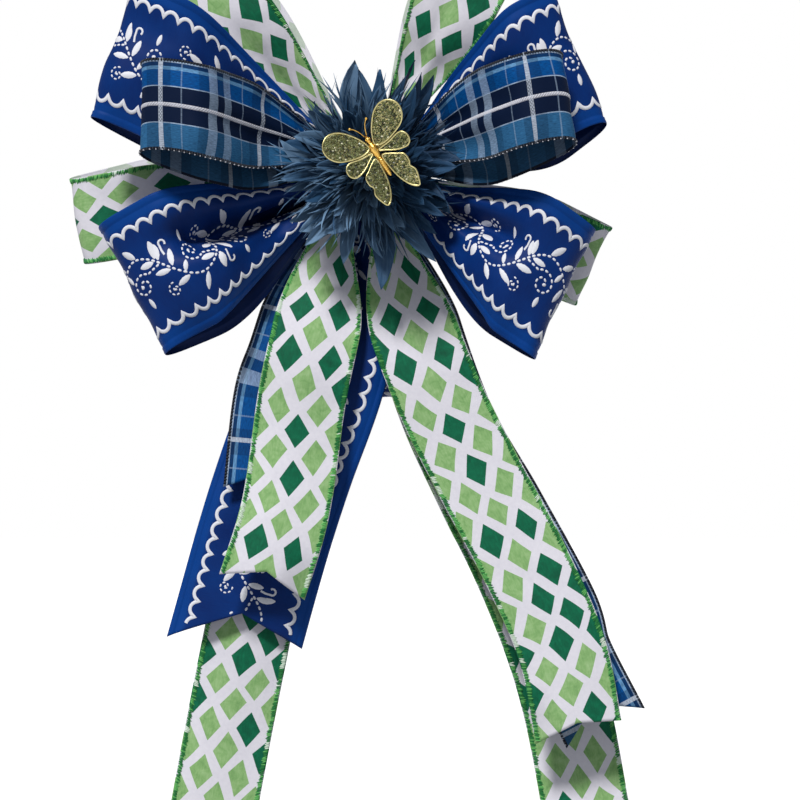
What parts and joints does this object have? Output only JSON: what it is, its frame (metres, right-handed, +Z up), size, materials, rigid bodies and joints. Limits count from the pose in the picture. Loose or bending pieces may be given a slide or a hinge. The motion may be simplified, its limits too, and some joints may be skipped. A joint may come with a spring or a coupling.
{
  "type": "layered ribbon wreath bow",
  "caption": "Layered wired-ribbon wreath bow with loops and notched tails, a fabric flower and a jewelled butterfly pin at the knot, hung by a wire loop behind.",
  "frame": {"origin": "the twist of the tie's two ends, at the back of the knot, where the bow is fastened", "axes": "+Z up, the bow faces -Y, +X is to the right seen from the front"},
  "size_m": [0.4197, 0.1558, 0.6676],
  "materials": {
    "blue_satin": "satin",
    "harlequin_ribbon": "matte",
    "plaid_ribbon": "matte",
    "chenille": "matte",
    "core_plastic": "matte",
    "stem_wire": "satin",
    "petal_fabric": "matte",
    "gold_metal": "polished",
    "glitter_fill": "gloss"
  },
  "bodies": {
    "root": {"green_loop_gather": "harlequin_ribbon", "tail_gather": "harlequin_ribbon", "blue_loop_gather": "blue_satin", "plaid_loop_gather": "plaid_ribbon", "centre_tie": "chenille", "tie_twist": "chenille", "hanging_loop": "chenille"},
    "blue_loop_upper_left": {"blue_loop_upper_left": "blue_satin"},
    "blue_loop_upper_right": {"blue_loop_upper_right": "blue_satin"},
    "blue_loop_lower_left": {"blue_loop_lower_left": "blue_satin"},
    "blue_loop_lower_right": {"blue_loop_lower_right": "blue_satin"},
    "blue_loop_bottom": {"blue_loop_bottom": "blue_satin"},
    "green_loop_upper_left": {"green_loop_upper_left": "harlequin_ribbon"},
    "green_loop_upper_right": {"green_loop_upper_right": "harlequin_ribbon"},
    "green_loop_side_left": {"green_loop_side_left": "harlequin_ribbon"},
    "green_loop_lower_right": {"green_loop_lower_right": "harlequin_ribbon"},
    "plaid_loop_left": {"plaid_loop_left": "plaid_ribbon"},
    "plaid_loop_right": {"plaid_loop_right": "plaid_ribbon"},
    "green_tail_front_left": {"green_tail_front_left": "harlequin_ribbon"},
    "green_tail_front_right": {"green_tail_front_right": "harlequin_ribbon"},
    "plaid_tail_left": {"plaid_tail_left": "plaid_ribbon"},
    "plaid_tail_right": {"plaid_tail_right": "plaid_ribbon"},
    "blue_tail_left": {"blue_tail_left": "blue_satin"},
    "green_tail_long_left": {"green_tail_long_left": "harlequin_ribbon"},
    "green_tail_long_right": {"green_tail_long_right": "harlequin_ribbon"},
    "flower": {"flower_core": "core_plastic", "flower_backing": "core_plastic", "flower_staple": "stem_wire", "petal_whorl_1": "petal_fabric", "petal_whorl_2": "petal_fabric", "petal_whorl_3": "petal_fabric", "petal_whorl_4": "petal_fabric", "petal_whorl_5": "petal_fabric", "petal_whorl_6": "petal_fabric"},
    "brooch": {"butterfly_body": "gold_metal", "forewing_frame_left": "gold_metal", "forewing_glitter_left": "glitter_fill", "sidewing_frame_left": "gold_metal", "sidewing_glitter_left": "glitter_fill", "hindwing_frame_left": "gold_metal", "hindwing_glitter_left": "glitter_fill", "antenna_left": "gold_metal", "forewing_frame_right": "gold_metal", "forewing_glitter_right": "glitter_fill", "sidewing_frame_right": "gold_metal", "sidewing_glitter_right": "glitter_fill", "hindwing_frame_right": "gold_metal", "hindwing_glitter_right": "glitter_fill", "antenna_right": "gold_metal", "brooch_bar": "gold_metal", "pin_hinge": "gold_metal", "pin_catch": "gold_metal", "pin_stem": "gold_metal"}
  },
  "joints": [
    {"name": "blue_loop_upper_left_fluff", "type": "hinge", "parent": "root", "child": "blue_loop_upper_left", "pos_m": [0, 0, 0], "axis": [0, 1, 0], "range_deg": [-5, 5]},
    {"name": "blue_loop_upper_right_fluff", "type": "hinge", "parent": "root", "child": "blue_loop_upper_right", "pos_m": [0, 0, 0], "axis": [0, 1, 0], "range_deg": [-5, 2]},
    {"name": "blue_loop_lower_left_fluff", "type": "hinge", "parent": "root", "child": "blue_loop_lower_left", "pos_m": [0, 0, 0], "axis": [0, 1, 0], "range_deg": [-5, 5]},
    {"name": "blue_loop_lower_right_fluff", "type": "hinge", "parent": "root", "child": "blue_loop_lower_right", "pos_m": [0, 0, 0], "axis": [0, 1, 0], "range_deg": [-2, 5]},
    {"name": "blue_loop_bottom_fluff", "type": "hinge", "parent": "root", "child": "blue_loop_bottom", "pos_m": [0, 0, 0], "axis": [0, 1, 0], "range_deg": [-8, 8]},
    {"name": "green_loop_upper_left_fluff", "type": "hinge", "parent": "root", "child": "green_loop_upper_left", "pos_m": [0, 0, 0], "axis": [0, 1, 0], "range_deg": [-8, 8]},
    {"name": "green_loop_upper_right_fluff", "type": "hinge", "parent": "root", "child": "green_loop_upper_right", "pos_m": [0, 0, 0], "axis": [0, 1, 0], "range_deg": [-8, 8]},
    {"name": "green_loop_side_left_fluff", "type": "hinge", "parent": "root", "child": "green_loop_side_left", "pos_m": [0, 0, 0], "axis": [0, 1, 0], "range_deg": [-8, 8]},
    {"name": "green_loop_lower_right_fluff", "type": "hinge", "parent": "root", "child": "green_loop_lower_right", "pos_m": [0, 0, 0], "axis": [0, 1, 0], "range_deg": [-8, 8]},
    {"name": "plaid_loop_left_fluff", "type": "hinge", "parent": "root", "child": "plaid_loop_left", "pos_m": [0, 0, 0], "axis": [0, 1, 0], "range_deg": [-10, 10]},
    {"name": "plaid_loop_right_fluff", "type": "hinge", "parent": "root", "child": "plaid_loop_right", "pos_m": [0, 0, 0], "axis": [0, 1, 0], "range_deg": [-10, 7]},
    {"name": "green_tail_front_left_swing", "type": "hinge", "parent": "root", "child": "green_tail_front_left", "pos_m": [0, 0, 0], "axis": [0, 1, 0], "range_deg": [-5, 15]},
    {"name": "green_tail_front_right_swing", "type": "hinge", "parent": "root", "child": "green_tail_front_right", "pos_m": [0, 0, 0], "axis": [0, 1, 0], "range_deg": [-15, 5]},
    {"name": "plaid_tail_left_swing", "type": "hinge", "parent": "root", "child": "plaid_tail_left", "pos_m": [0, 0, 0], "axis": [0, 1, 0], "range_deg": [-8, 15]},
    {"name": "plaid_tail_right_swing", "type": "hinge", "parent": "root", "child": "plaid_tail_right", "pos_m": [0, 0, 0], "axis": [0, 1, 0], "range_deg": [-15, 8]},
    {"name": "blue_tail_left_swing", "type": "hinge", "parent": "root", "child": "blue_tail_left", "pos_m": [0, 0, 0], "axis": [0, 1, 0], "range_deg": [-10, 15]},
    {"name": "green_tail_long_left_swing", "type": "hinge", "parent": "root", "child": "green_tail_long_left", "pos_m": [0, 0, 0], "axis": [0, 1, 0], "range_deg": [-4, 15]},
    {"name": "green_tail_long_right_swing", "type": "hinge", "parent": "root", "child": "green_tail_long_right", "pos_m": [0, 0, 0], "axis": [0, 1, 0], "range_deg": [-15, 4]},
    {"name": "flower_turn", "type": "hinge", "parent": "root", "child": "flower", "pos_m": [0, 0, -0.005], "axis": [0, 1, 0], "range_deg": [-20, 20]},
    {"name": "brooch_lift_off", "type": "slide", "parent": "flower", "child": "brooch", "axis": [0, -1, 0], "range_m": [0, 0.04]}
  ]
}
